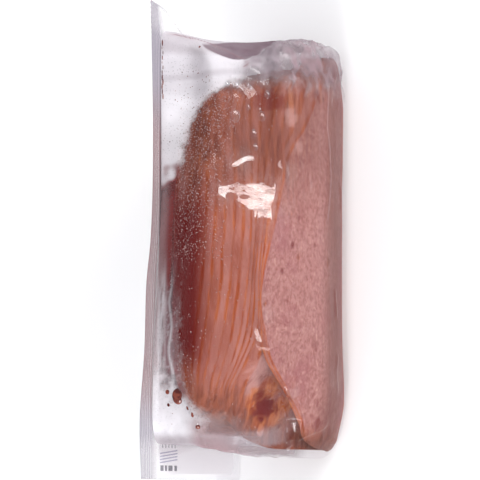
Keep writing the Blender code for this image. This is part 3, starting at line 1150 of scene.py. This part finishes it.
class Inside:
    """Finds places under the film's upper wall."""

    def __init__(self, tree, folds):
        self.tree = tree
        self.folds = folds

    def under(self, x, y, depth):
        """Place under the film at (x, y), some way below its surface, and the film's normal there."""
        hit, normal, _, _ = self.tree.ray_cast(Vector((x, y, ABOVE_PACK)), Vector((0, 0, -1)))
        return hit + normal * (film_relief(hit, self.folds) - depth), normal


def scatter(bm, inside, places, depth, radii, stretches):
    """A bead of random radius and stretch at each place; a place is drawn just before its bead."""
    for x, y in places:
        radius = random.uniform(*radii)
        add_bead(bm, *inside.under(x, y, depth), radius, random.uniform(*stretches))


def build_moisture(inside, material):
    """Fine beads of moisture: dense by the head-space, scattered elsewhere."""
    bm = bmesh.new()
    dense = ((8 + 26 * random.random() ** 1.4, 64 - 74 * random.random() ** 1.2)
             for _ in range(FINE_BEADS))
    scatter(bm, inside, dense, BEAD_DEPTH, *FINE_BEAD_SIZES)
    sparse = ((random.uniform(5, 48), random.uniform(-84, 70)) for _ in range(SCATTERED_BEADS))
    scatter(bm, inside, sparse, BEAD_DEPTH, *SCATTERED_BEAD_SIZES)
    return add_piece("moisture", bm, material)


def build_clear_drops(inside, material):
    """The large clear drops on the upper part of the film."""
    bm = bmesh.new()
    for x, y, radius in CLEAR_DROPS:
        place = inside.under(x, y, CLEAR_DROP_DEPTH)
        add_bead(bm, *place, radius, CLEAR_DROP_STRETCH, LARGE_DROP_DETAIL, CLEAR_DROP_FLATNESS)
    return add_piece("clear_drops", bm, material)


def build_juice_drops(inside, material):
    """Dark drops of meat juice, and the stain along the root of the flange."""
    bm = bmesh.new()
    for x, y, radius, stretch in JUICE_DROPS:
        place = inside.under(x, y, JUICE_DROP_DEPTH)
        add_bead(bm, *place, radius, stretch, LARGE_DROP_DETAIL, JUICE_DROP_FLATNESS)
    depths = (random.uniform(4, 27) for _ in range(FINE_JUICE))
    fine = ((x, random.uniform(44, 82) - 0.4 * x) for x in depths)
    scatter(bm, inside, fine, FINE_JUICE_DEPTH, *FINE_JUICE_SIZES)
    for step in range(ROOT_BEADS):
        y = mix(*ROOT_STAIN, step / (ROOT_BEADS - 1))
        place = inside.under(0.8 + 0.2 * math.sin(y), y, ROOT_STAIN_DEPTH)
        add_bead(bm, *place, random.uniform(*ROOT_RADII), ROOT_STRETCH, 2)
    return add_piece("juice_drops", bm, material)


# ------------ the flange
FLANGE_WIDTH = 12.5
SHEET = 0.6
FILM_THICKNESS = 0.25
# How far the upper edge curls over the pocket, as (place along the pack, reach)
EDGE_CURLS = [(-106, 1.6), (-80, 0.8), (-50, 2.6), (-20, 1.9), (0, 2.9), (60, 2.8), (106, 1.7)]
END_LEAN = math.radians(78)
LEAN_PEAK_Z = 38.0
LEAN_TOP_Z = 97.0
LEAN_RISE = 1.5
FAR_CORNER_REACH = 24.0
FAR_CORNER_LENGTH = 3.0
FOLD_RADIUS = 1.5
FLANGE_COLUMNS = 420
FLANGE_ROWS = (("edge", 48), ("web", 16), ("fold", 5), ("foot", 6))
RIDGE_PITCH = 1.9
RIDGE_RISE = 0.13
KNURL_FROM = 92.0
KNURL_PITCH = 2.2
# Milkiness of the line at the upper end, the ribs, the rim and the top of the web
END_LINE_MILK = 0.75
RIB_MILK = 0.5
RIM_MILK = 0.9
WEB_MILK = 0.5
# Share of it that is left where the flange passes the pocket's ends
MILK_AT_ENDS = 0.6


def sheet_point(kind, share, y):
    """Middle of the flange's sheet at place y: the lid web, its upper edge, and the folded foot."""
    middle = SHEET / 2
    turn = FOLD_RADIUS + middle
    root = along(ROOT_HEIGHTS, y)
    if kind == "edge":
        out = 1 - share
        return [-middle + along(EDGE_CURLS, y) * out**2, y, root + FLANGE_WIDTH * out]
    if kind == "web":
        return [-middle, y, root + (turn + middle - root) * share]
    if kind == "fold":
        angle = share * math.pi / 2
        return [-middle - turn * (1 - math.cos(angle)), y, middle + turn * (1 - math.sin(angle))]
    return [-middle - turn - (FLANGE_WIDTH - turn) * share, y, middle]


def lean_back(point):
    """Lean the sheet beyond the pocket's upper end back from the lid, and round its low corner."""
    past = point[1] - POCKET_TOP
    if past <= 0:
        return point
    share = min(1.0, max(0.0, (LEAN_TOP_Z - point[2]) / (LEAN_TOP_Z - LEAN_PEAK_Z)))
    full = FLANGE_HALF_LENGTH - POCKET_TOP
    low = 1 - smooth(0, FAR_CORNER_REACH, point[2])
    past *= 1 - low**2 * (1 - FAR_CORNER_LENGTH / full)
    angle = END_LEAN * share**LEAN_RISE * smooth(0, FOLD_RADIUS * 4, point[2])
    return [point[0] - past * math.sin(angle), POCKET_TOP + past * math.cos(angle), point[2]]


def flange_ridges(kind, share, y):
    """Rise of the seal's fine lines, which run along the strip and slant at its upper corner."""
    if kind != "edge":
        return 0.0
    width = FLANGE_WIDTH * (1 - share)
    lines = math.sin(2 * math.pi * (width + 0.25 * math.sin(y / 9)) / RIDGE_PITCH)
    slant = math.sin(2 * math.pi * (y - width) / KNURL_PITCH)
    return RIDGE_RISE * mix(lines, slant, smooth(KNURL_FROM - 4, KNURL_FROM, y)) * smooth(0, 1, width)


def build_flange(material):
    """The lid web, the flange and its folded foot, as one thin film."""
    rows = [(kind, step / count) for kind, count in FLANGE_ROWS for step in range(count)]
    rows.append(("foot", 1.0))
    bm = bmesh.new()
    bmesh.ops.create_grid(bm, x_segments=FLANGE_COLUMNS, y_segments=len(rows) - 1, size=1.0)
    layers = add_layers(bm, ("milky", "cool"))
    for vert in bm.verts:
        kind, share = rows[round((vert.co.y + 1) / 2 * (len(rows) - 1))]
        y = vert.co.x * FLANGE_HALF_LENGTH
        place = lean_back(sheet_point(kind, share, y))
        ridge = flange_ridges(kind, share, y)
        place[0] += ridge
        strip = END_LINE_MILK * smooth(FLANGE_HALF_LENGTH - 0.7, FLANGE_HALF_LENGTH - 0.2, y)
        if kind == "edge":
            lines = RIB_MILK + 0.38 * ridge / RIDGE_RISE + 0.25 * smooth(30, 80, y)
            strip = max(strip, lines, RIM_MILK * smooth(0.03, 0.0, share))
        elif kind == "web":
            strip = max(strip, WEB_MILK * smooth(0.05, 0.0, share))
        upper_end = smooth(POCKET_TOP - 6, POCKET_TOP + 3, y)
        ends = max(upper_end, smooth(POCKET_BOTTOM + 6, POCKET_BOTTOM - 3, y))
        note_looks(vert, layers, {
            "milky": strip * mix(1.0, MILK_AT_ENDS, ends),
            "cool": max(smooth(40, 75, y), smooth(-60, -85, y)),
        })
        vert.co = to_world(place)
    piece = add_piece("flange_film", bm, material)
    wall = piece.modifiers.new("film thickness", "SOLIDIFY")
    wall.thickness = FILM_THICKNESS * MM
    wall.offset = 0.0
    return piece


# ------------ plain print on the label
PRINT_DEPTH = 0.04
PRINT_OFF = 0.03
PRINT_TILT = math.radians(5)
# Rows of bars: their number, the first one's lower edge, the pitch and each bar's width
EDGE_LINES = (4, -93.68, -1.35, 0.56)
EDGE_TICKS = (5, 80.5, -3.1, 0.6)
GREY_BARS = (9, 74, -6, 1.8)
PALE_BARS = (12, 76, -5, 1.2)
THIN_TICKS = (22, 20, 2.2, 0.7)
THICK_TICK = 1.3
EDGE_BLOCKS = ((80, 83), (76.5, 78.5), (71, 75), (66.5, 69))
FIELD_HEIGHTS = (12, 80)


def add_bar(bm, y_range, z_range, on_front, tilt=0.0):
    """A flat field of ink on the label's lid side, or on its outer side."""
    skin = label_high[0] / MM + PRINT_OFF if on_front else label_low[0] / MM - PRINT_OFF
    middle = Vector((skin, sum(y_range) / 2, sum(z_range) / 2)) * MM
    size = (PRINT_DEPTH * MM, (y_range[1] - y_range[0]) * MM, (z_range[1] - z_range[0]) * MM, 1.0)
    turn = Matrix.Rotation(tilt, 4, "X")
    bmesh.ops.create_cube(bm, size=1.0, matrix=Matrix.Translation(middle) @ turn @ Matrix.Diagonal(size))


def bar_row(count, first, pitch, width):
    """Number, low edge and high edge of each bar of a row."""
    return [(step, first + pitch * step, first + pitch * step + width) for step in range(count)]


def build_print():
    """Bars, ticks and fields without words, on both sides of the label."""
    pale, grey, honey = bmesh.new(), bmesh.new(), bmesh.new()
    for _, low, high in bar_row(*EDGE_LINES):
        add_bar(pale, (low, high), (66, 83.5), True, PRINT_TILT)
    for _, low, high in bar_row(*EDGE_TICKS):
        add_bar(grey, (-91.6, -89.0), (low, high), True)
    for z_range in EDGE_BLOCKS:
        add_bar(grey, (-101.8, -99.4), z_range, True)
    add_bar(honey, (56, 84), FIELD_HEIGHTS, False)
    add_bar(grey, (48, 51), FIELD_HEIGHTS, False)
    for step, low, high in bar_row(*GREY_BARS):
        add_bar(grey, (-6 + 9 * (step % 3), 38), (low, high), False)
    for step, low, high in bar_row(*PALE_BARS):
        add_bar(pale, (-58, -18 - 5 * (step % 4)), (low, high), False)
    for step, low, high in bar_row(*THIN_TICKS):
        add_bar(grey, (-90, -74), (low, high if step % 3 else low + THICK_TICK), False)
    return [add_piece("print_" + name, bm, ink_finish(name), smooth_faces=False)
            for name, bm in (("lavender", pale), ("grey", grey), ("honey", honey))]


# ------------ stage
FLOOR_HALF_SIDE = 3.0
ALONG_PACK = (0.0, 1.0, 0.0)
ALONG_DEPTH = (1.0, 0.0, 0.0)
DOWN_FACE = (1.0, 0.0, -0.9)
# Soft lamps: name, direction from the pack, distance, width, height, power, and the width's way
LAMPS = (
    ("lower side", (0.1, -0.78, 0.62), 1.2, 0.35, 0.25, 5.0, ALONG_PACK),
    ("upper side", (0.708, 0.67, 0.319), 1.1, 1.1, 0.28, 9.8, DOWN_FACE),
    ("face side", (0.95, -0.2, 0.25), 1.2, 0.06, 0.12, 0.35, ALONG_PACK),
    ("lid side", (-0.91, 0.1, 0.40), 1.3, 0.2, 0.07, 0.6, ALONG_PACK),
    ("lower end", (0.0, -0.93, 0.30), 1.1, 1.0, 0.08, 2.0, ALONG_DEPTH),
)
LAMP_TARGET = (0.0, 0.0, 0.05)
SURROUND_COLOUR = (0.98, 0.98, 1.0, 1.0)
SURROUND_LOW = 1.6
SURROUND_HIGH = 0.4
VIEW_TILT = math.radians(25)
VIEW_PITCH = math.radians(4.5)
VIEW_DISTANCE = 1.5
VIEW_WIDTH = 0.216
VIEW_TARGET = (-0.8, 6.15, 52.2)
SENSOR_WIDTH = 36.0


def build_floor(material):
    """The pale floor that the pack lies on."""
    bm = bmesh.new()
    bmesh.ops.create_grid(bm, x_segments=1, y_segments=1, size=FLOOR_HALF_SIDE)
    floor = add_piece("floor", bm, material, smooth_faces=False)


def add_softbox(name, direction, distance, width, height, power, long_way):
    """A rectangular lamp that faces the pack from a direction, its width along long_way."""
    lamp = bpy.data.lights.new(name, "AREA")
    lamp.shape = "RECTANGLE"
    lamp.size = width
    lamp.size_y = height
    lamp.energy = power
    towards = Vector(direction).normalized()
    side = Vector(long_way)
    side = (side - towards * side.dot(towards)).normalized()
    place = Matrix.Translation(Vector(LAMP_TARGET) + towards * distance)
    add_object(name, lamp).matrix_world = place @ turned(side, towards.cross(side), towards)


def build_camera():
    """The photograph's view: across the seen long side, with the pack's upper end at the top."""
    towards = Vector((math.sin(VIEW_TILT) * math.cos(VIEW_PITCH), -math.sin(VIEW_PITCH),
                      math.cos(VIEW_TILT) * math.cos(VIEW_PITCH)))
    right = Vector((math.cos(VIEW_TILT), 0, -math.sin(VIEW_TILT)))
    up = towards.cross(right)
    lens = bpy.data.cameras.new("camera")
    lens.sensor_width = SENSOR_WIDTH
    lens.lens = SENSOR_WIDTH * VIEW_DISTANCE / VIEW_WIDTH
    lens.clip_start = 0.05
    target = (right * VIEW_TARGET[0] + up * VIEW_TARGET[1] + towards * VIEW_TARGET[2]) * MM
    target.x += LID_X * MM
    camera = add_object("camera", lens)
    camera.matrix_world = Matrix.Translation(target + towards * VIEW_DISTANCE) @ turned(right, up, towards)
    bpy.context.scene.camera = camera


def build_studio():
    """A bright surround that is dimmer overhead, and five soft lamps."""
    world = bpy.data.worlds.new("studio")
    bpy.context.scene.world = world
    world.use_nodes = True
    nodes = world.node_tree.nodes
    links = world.node_tree.links
    background = nodes["Background"]
    background.inputs["Color"].default_value = SURROUND_COLOUR
    direction = nodes.new("ShaderNodeTexCoord")
    parts = nodes.new("ShaderNodeSeparateXYZ")
    level = nodes.new("ShaderNodeMapRange")
    links.new(direction.outputs["Generated"], parts.inputs["Vector"])
    links.new(parts.outputs["Z"], level.inputs["Value"])
    level.inputs["To Min"].default_value = SURROUND_LOW
    level.inputs["To Max"].default_value = SURROUND_HIGH
    links.new(level.outputs["Result"], background.inputs["Strength"])
    for lamp in LAMPS:
        add_softbox(*lamp)
    bpy.context.scene.view_settings.view_transform = "Standard"


def main():
    """Build the stage and the pieces, and say what each piece rides and replaces."""
    build_camera()
    build_studio()
    build_floor(floor_finish())
    form = build_film_form()
    hollow = Hollow(form)
    ham = ham_finish()
    front = build_slice(hollow, "front_slice", 0, FRONT_STRIPS, ham)
    second = build_slice(hollow, "second_slice", 1, SECOND_STRIPS, ham)
    slices = build_stack(hollow, ham)
    folds = [Fold(hollow.tree, *fold) for fold in FACE_FOLDS + UPPER_FOLDS + LOWER_FOLDS + TOP_FOLDS]
    inside = Inside(hollow.tree, folds)
    moisture = build_moisture(inside, moisture_finish())
    clear_drops = build_clear_drops(inside, clear_drop_finish())
    juice_drops = build_juice_drops(inside, juice_finish())
    creases = [Fold(hollow.tree, 1.0, CREASE_HALF_WIDTH, route) for route in CREASES]
    film = build_film(form, folds, creases, film_finish())
    flange = build_flange(flange_finish())
    for piece in (film, front, second, slices, moisture, clear_drops, juice_drops):
        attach(piece, "root")
        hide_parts("ham_pack")
    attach(flange, "root")
    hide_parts("seal_flange")
    for piece in build_print():
        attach(piece, "root")
    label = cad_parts["back_label"]
    label.data.materials.clear()
    label.data.materials.append(paper_finish())


main()
